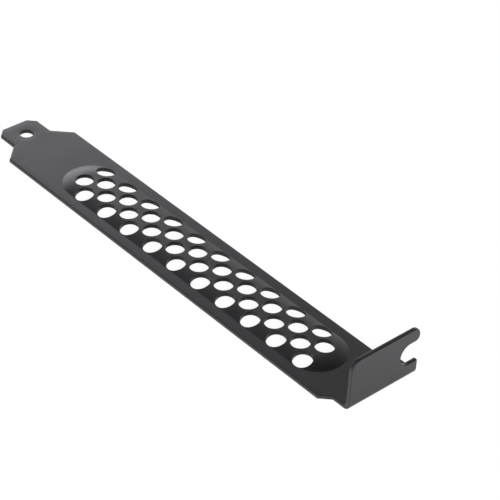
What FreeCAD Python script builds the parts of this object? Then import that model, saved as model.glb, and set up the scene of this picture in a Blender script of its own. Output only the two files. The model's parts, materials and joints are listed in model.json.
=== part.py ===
import FreeCAD, Part
import math
import os

# Expansion slot cover, folded from one sheet: a vented blade with a flange turned up at one end.
# It is drawn as it lies: X along the blade towards the flange, Y across it, Z up from its back face.
# All sizes are over the paint.

V = FreeCAD.Vector

# Sheet
SHEET = 0.95  # thickness
BEND_INSIDE = 0.5  # inside radius of the fold
RIM_ROUND = 0.25  # rounding of every edge of the outline, on both skins

# Blade
BLADE_WIDTH = 18.5
SEAT_TO_TAIL = 120.02  # from the flange's seat face to the end of the tail
SHOULDER_TO_TAIL = 10.92  # from the end of the tail to the start of the full width
TAIL_WIDTH = 10.27
TAIL_LENGTH = 6.92  # straight-sided part of the tail, chamfers included
TAIL_CHAMFER = 1.75
TAIL_HOLE = 3.27  # diameter
TAIL_HOLE_INSET = 4.72  # from the end of the tail

# Sideways step of the sheet before the fold, inwards on the left and outwards on the right
STEP_DEPTH = 2.21  # of the left edge
STEP_FROM_FLANGE = 4.48  # from the flange's outer face to the near end of the step

# Flange
FLANGE_HEIGHT = 12.25
FLANGE_RIGHT = 11.65  # how far it reaches past the blade's middle line
FLANGE_CORNER = 2.2
FINGER_HEIGHT = 3.35  # of the finger over the screw notch
FINGER_TIP_ROUND = 1.25  # at the finger's lower corner
FINGER_TIP_FLAT = 0.2  # straight end of the finger between its two rounds
ARM_TOP_ROUND = 0.35  # at the upper corner of the arm under the notch

# Screw notch, open to the right, with a full round end
NOTCH_WIDTH = 5.05
NOTCH_END = 6.65  # distance of its closed end from the blade's middle line

# Raised panel
PANEL_RISE = 0.95
PANEL_LENGTH = 87.9
PANEL_WIDTH = 13.5
PANEL_TO_SEAT = 9.25  # from the panel's near end to the flange's seat face
PANEL_FLAT = 4.4  # width of the level strip along its middle
PANEL_FOOT_ROUND = 0.3  # hollow radius where it rises from the blade

# Vent holes
HOLE_LINES = 4
HOLES_PER_LINE = 10
HOLE_SIZE = 4.3  # diameter
HOLE_PITCH = 8.0  # along a line
LINE_PITCH = 3.0  # between the lines

# Worked out from the sizes above
BEND_OUTSIDE = BEND_INSIDE + SHEET
SEAT_X = -SHEET
TAIL_X = SEAT_X - SEAT_TO_TAIL
BLADE_SIDE = BLADE_WIDTH / 2
TAIL_SIDE = TAIL_WIDTH / 2
FLANGE_LEFT = STEP_DEPTH - BLADE_SIDE
NOTCH_TOP = FLANGE_HEIGHT - FINGER_HEIGHT
NOTCH_FLOOR = NOTCH_TOP - NOTCH_WIDTH
FINGER_TOP_ROUND = FINGER_HEIGHT - FINGER_TIP_ROUND - FINGER_TIP_FLAT
PANEL_SIDE = PANEL_WIDTH / 2
PANEL_NEAR_X = SEAT_X - PANEL_TO_SEAT - PANEL_SIDE
PANEL_FAR_X = SEAT_X - PANEL_TO_SEAT - PANEL_LENGTH + PANEL_SIDE
MARGIN = 1.0  # how far cutting shapes reach past the sheet


def outline(corners):
    """Closed face through (point, radius) corners, each rounded by an arc of its radius."""
    starts, ends, arcs = [], [], []
    for i, (point, radius) in enumerate(corners):
        back = (corners[i - 1][0] - point).normalize()
        ahead = (corners[(i + 1) % len(corners)][0] - point).normalize()
        half = back.getAngle(ahead) / 2
        inward = (back + ahead).normalize()
        starts.append(point + back * (radius / math.tan(half)))
        ends.append(point + ahead * (radius / math.tan(half)))
        middle = point + inward * (radius / math.sin(half) - radius)
        arcs.append(Part.Arc(starts[i], middle, ends[i]).toShape() if radius else None)
    edges = []
    for i, arc in enumerate(arcs):
        if ends[i - 1].distanceToPoint(starts[i]) > 1e-6:
            edges.append(Part.makeLine(ends[i - 1], starts[i]))
        if arc:
            edges.append(arc)
    return Part.Face(Part.Wire(edges))


def folded_section():
    """The fold seen from the side, as wide as blade and flange together."""
    top = FLANGE_HEIGHT
    corners = [
        (V(TAIL_X, 0, 0), 0),
        (V(0, 0, 0), BEND_OUTSIDE),
        (V(0, 0, top), 0),
        (V(SEAT_X, 0, top), 0),
        (V(SEAT_X, 0, SHEET), BEND_INSIDE),
        (V(TAIL_X, 0, SHEET), 0),
    ]
    section = outline(corners).extrude(V(0, BLADE_SIDE + FLANGE_RIGHT, 0))
    section.translate(V(0, -BLADE_SIDE, 0))
    return section


def plan():
    """Everything inside the outline seen from above."""
    tail_root = TAIL_X + TAIL_LENGTH
    shoulder = TAIL_X + SHOULDER_TO_TAIL
    step_end = -STEP_FROM_FLANGE
    bevel = TAIL_X + TAIL_CHAMFER
    corners = [
        V(TAIL_X, TAIL_SIDE - TAIL_CHAMFER),
        V(bevel, TAIL_SIDE),
        V(tail_root, TAIL_SIDE),
        V(shoulder, BLADE_SIDE),
        V(step_end - FLANGE_RIGHT + BLADE_SIDE, BLADE_SIDE),
        V(step_end, FLANGE_RIGHT),
        V(MARGIN, FLANGE_RIGHT),
        V(MARGIN, FLANGE_LEFT),
        V(step_end, FLANGE_LEFT),
        V(step_end - STEP_DEPTH, -BLADE_SIDE),
        V(shoulder, -BLADE_SIDE),
        V(tail_root, -TAIL_SIDE),
        V(bevel, -TAIL_SIDE),
        V(TAIL_X, TAIL_CHAMFER - TAIL_SIDE),
    ]
    face = Part.Face(Part.makePolygon(corners + corners[:1]))
    prism = face.extrude(V(0, 0, FLANGE_HEIGHT + 2 * MARGIN))
    prism.translate(V(0, 0, -MARGIN))
    return prism


def elevation():
    """Everything inside the outline seen from the flange end, with the screw notch."""
    top = FLANGE_HEIGHT
    notch_round = NOTCH_WIDTH / 2
    corners = [
        (V(0, -BLADE_SIDE - MARGIN, -MARGIN), 0),
        (V(0, FLANGE_RIGHT, -MARGIN), 0),
        (V(0, FLANGE_RIGHT, NOTCH_FLOOR), ARM_TOP_ROUND),
        (V(0, NOTCH_END, NOTCH_FLOOR), notch_round),
        (V(0, NOTCH_END, NOTCH_TOP), notch_round),
        (V(0, FLANGE_RIGHT, NOTCH_TOP), FINGER_TIP_ROUND),
        (V(0, FLANGE_RIGHT, top), FINGER_TOP_ROUND),
        (V(0, FLANGE_LEFT, top), FLANGE_CORNER),
        (V(0, FLANGE_LEFT, BEND_OUTSIDE), 0),
        (V(0, -BLADE_SIDE - MARGIN, BEND_OUTSIDE), 0),
    ]
    prism = outline(corners).extrude(V(MARGIN - TAIL_X + MARGIN, 0, 0))
    prism.translate(V(TAIL_X - MARGIN, 0, 0))
    return prism


def skin_depth(point):
    """How deep a point lies under the outer skin: nothing outside, the sheet's thickness inside."""
    if point.x < -BEND_OUTSIDE:
        return point.z
    if point.z > BEND_OUTSIDE:
        return -point.x
    return BEND_OUTSIDE - math.hypot(point.x + BEND_OUTSIDE, point.z - BEND_OUTSIDE)


def is_rim(edge):
    """Whether an edge runs along the outline of one of the sheet's two skins."""
    points = edge.discretize(3)
    depths = [skin_depth(point) for point in points]
    on_outer = all(abs(depth) < 1e-4 for depth in depths)
    on_inner = all(abs(depth - SHEET) < 1e-4 for depth in depths)
    at_fold = all(abs(point.x + BEND_OUTSIDE) < 1e-4 for point in points)
    over_fold = all(abs(point.z - BEND_OUTSIDE) < 1e-4 for point in points)
    return (on_outer or on_inner) and not at_fold and not over_fold


def folded_sheet():
    """Blade, fold and flange with rounded rims, before the panel is pressed."""
    sheet = folded_section().common(plan()).common(elevation()).removeSplitter()
    rims = [edge for edge in sheet.Edges if is_rim(edge)]
    return sheet.makeFillet(RIM_ROUND, rims)


def panel_half_section():
    """Half of the raised panel's section, of one thickness all over, from its middle to its foot."""
    flat = PANEL_FLAT / 2
    run = PANEL_SIDE - flat
    span = (run ** 2 + PANEL_RISE ** 2) / (2 * PANEL_RISE)
    crown = span - PANEL_FOOT_ROUND
    slope = math.asin(run / span)
    crown_centre = V(0, flat, SHEET + PANEL_RISE - crown)
    foot_centre = V(0, PANEL_SIDE, SHEET + PANEL_FOOT_ROUND)

    def crown_point(radius, angle):
        return crown_centre + V(0, math.sin(angle), math.cos(angle)) * radius

    def foot_point(radius, angle):
        return foot_centre - V(0, math.sin(angle), math.cos(angle)) * radius

    def skin(crown_radius, foot_radius):
        turn = crown_point(crown_radius, slope)
        level = crown_point(crown_radius, 0)
        foot = foot_point(foot_radius, 0)
        return [
            Part.makeLine(V(0, 0, level.z), level),
            Part.Arc(level, crown_point(crown_radius, slope / 2), turn).toShape(),
            Part.Arc(turn, foot_point(foot_radius, slope / 2), foot).toShape(),
        ]

    top = skin(crown, PANEL_FOOT_ROUND)
    bottom = skin(crown - SHEET, PANEL_FOOT_ROUND + SHEET)
    middle = Part.makeLine(V(0, 0, SHEET + PANEL_RISE), V(0, 0, PANEL_RISE))
    edge = Part.makeLine(V(0, PANEL_SIDE, SHEET), V(0, PANEL_SIDE, 0))
    return Part.Face(Part.Wire(Part.__sortEdges__(top + bottom + [middle, edge])))


def panel_footprint():
    """The round-ended piece of flat sheet that the raised panel takes the place of."""
    length = PANEL_NEAR_X - PANEL_FAR_X
    box = Part.makeBox(length, PANEL_WIDTH, SHEET, V(PANEL_FAR_X, -PANEL_SIDE, 0))
    far_end = Part.makeCylinder(PANEL_SIDE, SHEET, V(PANEL_FAR_X, 0, 0))
    near_end = Part.makeCylinder(PANEL_SIDE, SHEET, V(PANEL_NEAR_X, 0, 0))
    return box.fuse([far_end, near_end]).removeSplitter()


def raised_panel():
    """The panel's sheet: two straight sides and two half-turned ends, those as splines."""
    half = panel_half_section()
    half.translate(V(PANEL_FAR_X, 0, 0))
    side = half.extrude(V(PANEL_NEAR_X - PANEL_FAR_X, 0, 0))
    other_side = side.mirror(V(0, 0, 0), V(0, 1, 0))
    far_end = half.revolve(V(PANEL_FAR_X, 0, 0), V(0, 0, 1), 180)
    half.translate(V(PANEL_NEAR_X - PANEL_FAR_X, 0, 0))
    near_end = half.revolve(V(PANEL_NEAR_X, 0, 0), V(0, 0, 1), -180)
    return side.fuse([other_side, far_end.toNurbs(), near_end.toNurbs()])


def vent_holes():
    """The staggered vent holes, every second line half a pitch nearer the tail."""
    middle_x = (PANEL_NEAR_X + PANEL_FAR_X) / 2
    depth = SHEET + PANEL_RISE + 2 * MARGIN
    cutters = []
    for line in range(HOLE_LINES):
        y = (line - (HOLE_LINES - 1) / 2) * LINE_PITCH
        shift = HOLE_PITCH / 4 if line % 2 == 0 else -HOLE_PITCH / 4
        for i in range(HOLES_PER_LINE):
            x = middle_x + shift + (i - (HOLES_PER_LINE - 1) / 2) * HOLE_PITCH
            cutters.append(Part.makeCylinder(HOLE_SIZE / 2, depth, V(x, y, -MARGIN)))
    return cutters


def tail_hole():
    """The round hole through the tail."""
    x = TAIL_X + TAIL_HOLE_INSET
    return Part.makeCylinder(TAIL_HOLE / 2, SHEET + 2 * MARGIN, V(x, 0, -MARGIN))


def slot_cover():
    """The whole cover, moved so that the origin is the bottom centre of its bounding box."""
    sheet = folded_sheet().cut(panel_footprint())
    sheet = sheet.fuse(raised_panel()).removeSplitter()
    sheet = sheet.cut(vent_holes() + [tail_hole()])
    sheet.translate(V(-TAIL_X / 2, (BLADE_SIDE - FLANGE_RIGHT) / 2, 0))
    return sheet


os.makedirs("parts", exist_ok=True)
cover = slot_cover()
if len(cover.Solids) != 1 or not cover.isValid():
    raise ValueError("the cover isn't one sound solid")
cover.Solids[0].exportStep("parts/slot_cover.step")
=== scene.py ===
import json
import math

import bpy
from mathutils import Matrix, Vector


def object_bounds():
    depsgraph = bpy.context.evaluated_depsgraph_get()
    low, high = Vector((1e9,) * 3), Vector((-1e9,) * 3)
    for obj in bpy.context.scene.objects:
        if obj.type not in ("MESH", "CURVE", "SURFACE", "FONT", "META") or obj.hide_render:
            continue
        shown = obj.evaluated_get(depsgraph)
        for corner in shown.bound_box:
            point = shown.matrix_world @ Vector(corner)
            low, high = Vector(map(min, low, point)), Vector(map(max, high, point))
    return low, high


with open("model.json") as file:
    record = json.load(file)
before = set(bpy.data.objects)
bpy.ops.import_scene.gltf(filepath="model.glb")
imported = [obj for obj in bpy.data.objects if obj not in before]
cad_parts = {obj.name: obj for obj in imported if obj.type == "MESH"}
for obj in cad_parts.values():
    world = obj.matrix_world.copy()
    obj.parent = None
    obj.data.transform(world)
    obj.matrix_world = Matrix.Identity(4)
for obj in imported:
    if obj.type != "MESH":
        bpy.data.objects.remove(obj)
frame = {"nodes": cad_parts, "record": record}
cad_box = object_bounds()

MM = 0.001

# Camera, at the photograph's place and angle
CAMERA_EYE = Vector((258.47, -220.79, 255.87)) * MM
CAMERA_TARGET = Vector((8.94, 11.18, 0.0)) * MM
CAMERA_ROLL = math.radians(3.0855)  # anticlockwise, seen from behind the camera
CAMERA_LENS = 141.95  # mm
CAMERA_SENSOR = 36.0  # mm
CAMERA_CLIP = (0.01, 20.0)  # m

# Powder coat
PAINT_COLOR = (0.0085, 0.0085, 0.0095)
PAINT_PALER = (0.0120, 0.0120, 0.0130)
PAINT_IOR = 1.65
PAINT_SHEEN_TINT = (0.96, 0.94, 1.0)
PAINT_ROUGHNESS = (0.33, 0.40)
GRAIN_SIZE = 0.22 * MM
GRAIN_DEPTH = 0.004 * MM
GRAIN_SPECKS = (0.35, 0.7)  # part of the grain over which the paint turns paler
ORANGE_PEEL_SIZE = 1.4 * MM
ORANGE_PEEL_DEPTH = 0.006 * MM
BLOTCHES_PER_METRE = 90.0
BLOTCH_RANGE = (0.3, 0.7)  # part of the blotches over which the paint turns rougher

# Roll at the sheared edges of the blade and its tail, and round the tail's hole
TAIL_HOLE = {mount["name"]: mount for mount in frame["record"]["mounts"]}["tail_hole"]
SHEET = TAIL_HOLE["dims"]["length_mm"] * MM
TAIL_HOLE_RADIUS = TAIL_HOLE["dims"]["r_mm"] * MM
TAIL_HOLE_TOP = Vector(TAIL_HOLE["pos_m"]) + Vector((0.0, 0.0, SHEET / 2))
BLADE_CENTRE_Y = TAIL_HOLE_TOP.y
BLADE_HALF = BLADE_CENTRE_Y - cad_box[0][1]
TAIL_HALF = 5.135 * MM
TAIL_END_X = cad_box[0][0]
TAIL_ROOT_X = TAIL_END_X + 6.92 * MM
SHOULDER_X = TAIL_END_X + 10.92 * MM  # where the full width starts
ROLL_TOP_Z = SHEET + 0.05 * MM  # the roll is full up to here
FOLD_Z = SHEET + 0.45 * MM  # and gone from here up
EDGE_ROLL_WIDTH = 2.0 * MM
EDGE_ROLL_DROP = 0.045 * MM

# Floor. The camera sees it as a glow, with a little of the light that falls on it.
FLOOR_HALF = 3.0  # m
FLOOR_WHITE = (0.9, 0.9, 0.9)  # colour that the part mirrors and is lit by
FLOOR_GLOW = 0.93
FLOOR_LIT = (0.09, 0.09, 0.09)

# Sky. Heights in it are the z of a direction of length 1.
SKY_WHITE = (1.0, 1.0, 1.0)
SKY_LOW = 0.8
SKY_HIGH = 0.28
SKY_LOW_Z = 0.2
SKY_HIGH_Z = 0.8
SKY_BRIGHT_WAY = Vector((-0.8, 0.6, 0.0))  # level direction towards its bright side
SKY_SIDE = (-0.2, 0.9)  # cosines to that direction, where it is dark and where bright
SKY_SHADE = 0.12  # share of the brightness that is left on the dark side
SKY_SHADE_LOW = 0.9  # the same at the horizon
SKY_SHADE_Z = 0.35  # height at which the dark side has darkened
GLOWS = (  # direction of each glow's middle, its rim and its middle as cosines, and radiance
    (Vector((0.5, -0.56, 0.66)), (0.72, 0.94), 0.72),
    (Vector((-0.54, -0.54, 0.64)), (0.86, 0.99), 0.45),
)

# Lamps, with places and sizes in metres
SOFTBOX_AT = Vector((-0.5255, 0.223, 0.185))
SOFTBOX_SIZE = (0.36, 0.36)
SOFTBOX_RADIANCE = 1.5
SOFTBOX_COLOR = (1.0, 0.99, 1.05)
FILL_AT = Vector((1.04, -0.18, 0.56))
FILL_SIZE = (0.7, 0.7)
FILL_RADIANCE = 13.2
FILL_COLOR = (1.0, 1.0, 1.0)


class Nodes:
    """Adds and joins the nodes of one tree."""

    def __init__(self, tree):
        self.tree = tree
        tree.nodes.clear()

    def add(self, kind, settings=None, **inputs):
        node = self.tree.nodes.new("ShaderNode" + kind)
        for name, value in (settings or {}).items():
            setattr(node, name, value)
        for name, value in inputs.items():
            self.put(node, name.replace("_", " "), value)
        return node

    def put(self, node, name, value):
        """Joins an output to the input of this name or number, or sets it to a constant."""
        socket = node.inputs[name]
        if isinstance(value, bpy.types.NodeSocket):
            self.tree.links.new(value, socket)
        else:
            socket.default_value = value

    def put_all(self, node, values):
        for i, value in enumerate(values):
            self.put(node, i, value)
        return node

    def math(self, operation, *values):
        return self.put_all(self.add("Math", {"operation": operation}), values).outputs[0]

    def measure(self, operation, a, b):
        """A number from two vectors."""
        node = self.put_all(self.add("VectorMath", {"operation": operation}), (a, b))
        return node.outputs["Value"]

    def blend(self, factor, first, second):
        """A colour between two. Inputs 0, 6 and 7 and output 2 are the node's ones for colours."""
        node = self.add("Mix", {"data_type": "RGBA"})
        for i, value in zip((0, 6, 7), (factor, first, second)):
            self.put(node, i, value)
        return node.outputs[2]

    def remap(self, value, from_min, from_max, to_min, to_max, smooth=False):
        kind = "SMOOTHSTEP" if smooth else "LINEAR"
        node = self.add("MapRange", {"interpolation_type": kind})
        self.put_all(node, (value, from_min, from_max, to_min, to_max))
        return node.outputs[0]


def new_material(name):
    mat = bpy.data.materials.new(name)
    mat.use_nodes = True
    return mat, Nodes(mat.node_tree)


def rgba(color):
    return (*color, 1.0)


def look_at(eye, target, roll=0.0):
    """World matrix of a camera or lamp at eye that faces target."""
    turn = (target - eye).to_track_quat("-Z", "Y").to_matrix().to_4x4()
    return Matrix.Translation(eye) @ turn @ Matrix.Rotation(roll, 4, "Z")


def link(obj):
    bpy.context.scene.collection.objects.link(obj)
    return obj


def edge_roll(n, position):
    """Height of the blade's skin beside its edges, which the shearing pulled down."""
    x, y, z = n.add("SeparateXYZ", Vector=position).outputs
    half = n.remap(x, TAIL_ROOT_X, SHOULDER_X, TAIL_HALF, BLADE_HALF)
    off_centre = n.math("ABSOLUTE", n.math("SUBTRACT", y, BLADE_CENTRE_Y))
    to_side = n.math("SUBTRACT", half, off_centre)
    to_end = n.math("SUBTRACT", x, TAIL_END_X)
    to_hole = n.math("SUBTRACT", n.measure("DISTANCE", position, TAIL_HOLE_TOP), TAIL_HOLE_RADIUS)
    nearest = n.math("MINIMUM", n.math("MINIMUM", to_side, to_end), to_hole)
    near = n.remap(nearest, 0.0, EDGE_ROLL_WIDTH, 1.0, 0.0)
    drop = n.remap(z, ROLL_TOP_Z, FOLD_Z, -EDGE_ROLL_DROP, 0.0)
    return n.math("MULTIPLY", n.math("MULTIPLY", near, near), drop)


def powder_coat():
    mat, n = new_material("black_powder_coat")
    position = n.add("TexCoord").outputs["Object"]
    grain = n.add("TexNoise", Vector=position, Scale=1 / GRAIN_SIZE, Detail=2.0, Roughness=0.6)
    peel = n.add("TexNoise", Vector=position, Scale=1 / ORANGE_PEEL_SIZE, Detail=1.0)
    blotch = n.add("TexNoise", Vector=position, Scale=BLOTCHES_PER_METRE, Detail=3.0)
    speck = n.remap(grain.outputs["Fac"], *GRAIN_SPECKS, 0.0, 1.0)
    color = n.blend(speck, rgba(PAINT_COLOR), rgba(PAINT_PALER))
    rough = n.remap(blotch.outputs["Fac"], *BLOTCH_RANGE, *PAINT_ROUGHNESS)
    height = n.math("MULTIPLY", grain.outputs["Fac"], GRAIN_DEPTH)
    height = n.math("MULTIPLY_ADD", peel.outputs["Fac"], ORANGE_PEEL_DEPTH, height)
    height = n.math("ADD", height, edge_roll(n, position))
    bump = n.add("Bump", Strength=1.0, Distance=1.0, Height=height)
    shader = n.add("BsdfPrincipled", Roughness=rough, IOR=PAINT_IOR, Normal=bump.outputs[0])
    n.put(shader, "Base Color", color)
    n.put(shader, "Specular Tint", rgba(PAINT_SHEEN_TINT))
    n.add("OutputMaterial", Surface=shader.outputs[0])
    return mat


def add_floor():
    """A white floor that keeps the part's shadow, a little, where the camera sees it."""
    mesh = bpy.data.meshes.new("floor")
    r = FLOOR_HALF
    mesh.from_pydata([(-r, -r, 0), (r, -r, 0), (r, r, 0), (-r, r, 0)], [], [(0, 1, 2, 3)])
    floor = link(bpy.data.objects.new("floor", mesh))
    mat, n = new_material("white_floor")
    plain = n.add("BsdfDiffuse", Color=rgba(FLOOR_WHITE))
    lit = n.add("BsdfDiffuse", Color=rgba(FLOOR_LIT))
    glow = n.add("Emission", Strength=FLOOR_GLOW)
    seen = n.put_all(n.add("AddShader"), (lit.outputs[0], glow.outputs[0]))
    by_camera = n.add("LightPath").outputs["Is Camera Ray"]
    mix = n.put_all(n.add("MixShader"), (by_camera, plain.outputs[0], seen.outputs[0]))
    n.add("OutputMaterial", Surface=mix.outputs[0])
    mesh.materials.append(mat)
    return floor


def add_world():
    """Bright low down and dim overhead, and plain white where the camera sees it."""
    world = bpy.data.worlds.new("studio")
    world.use_nodes = True
    n = Nodes(world.node_tree)
    way = n.add("TexCoord").outputs["Generated"]
    height = n.add("SeparateXYZ", Vector=way).outputs["Z"]
    sky = n.remap(height, SKY_LOW_Z, SKY_HIGH_Z, SKY_LOW, SKY_HIGH)
    shade = n.remap(height, 0.0, SKY_SHADE_Z, SKY_SHADE_LOW, SKY_SHADE, smooth=True)
    brightness = n.measure("DOT_PRODUCT", way, SKY_BRIGHT_WAY)
    side = n.remap(brightness, *SKY_SIDE, shade, 1.0, smooth=True)
    sky = n.math("MULTIPLY", sky, side)
    for middle, spread, radiance in GLOWS:
        nearness = n.measure("DOT_PRODUCT", way, middle)
        sky = n.math("ADD", sky, n.remap(nearness, *spread, 0.0, radiance, smooth=True))
    by_camera = n.add("LightPath").outputs["Is Camera Ray"]
    strength = n.math("MAXIMUM", sky, by_camera)
    back = n.add("Background", Color=rgba(SKY_WHITE), Strength=strength)
    n.add("OutputWorld", Surface=back.outputs[0])
    bpy.context.scene.world = world


def add_lamp(name, eye, size, radiance, color, mirrored=True):
    """A rectangular lamp that faces the part. Surfaces mirror it only if mirrored is set."""
    data = bpy.data.lights.new(name, "AREA")
    data.shape = "RECTANGLE"
    data.size, data.size_y = size
    data.energy = radiance * math.pi * size[0] * size[1]
    data.color = color
    lamp = link(bpy.data.objects.new(name, data))
    lamp.matrix_world = look_at(eye, Vector((0, 0, 0)))
    lamp.visible_glossy = mirrored
    return lamp


def light_only(lamp, objects):
    """Lets the lamp light these objects alone. The others still stand in its way."""
    group = bpy.data.collections.new(lamp.name + "_lights")
    for obj in objects:
        group.objects.link(obj)
    lamp.light_linking.receiver_collection = group


def add_camera():
    data = bpy.data.cameras.new("camera")
    data.lens = CAMERA_LENS
    data.sensor_width = CAMERA_SENSOR
    data.clip_start, data.clip_end = CAMERA_CLIP
    camera = link(bpy.data.objects.new("camera", data))
    camera.matrix_world = look_at(CAMERA_EYE, CAMERA_TARGET, CAMERA_ROLL)
    bpy.context.scene.camera = camera


cover = frame["nodes"]["slot_cover"]
paint = powder_coat()
for slot in cover.material_slots:
    slot.material = paint
floor = add_floor()
add_world()
add_lamp("softbox", SOFTBOX_AT, SOFTBOX_SIZE, SOFTBOX_RADIANCE, SOFTBOX_COLOR)
fill = add_lamp("fill", FILL_AT, FILL_SIZE, FILL_RADIANCE, FILL_COLOR, mirrored=False)
light_only(fill, [floor])
add_camera()
bpy.context.scene.view_settings.view_transform = "Standard"
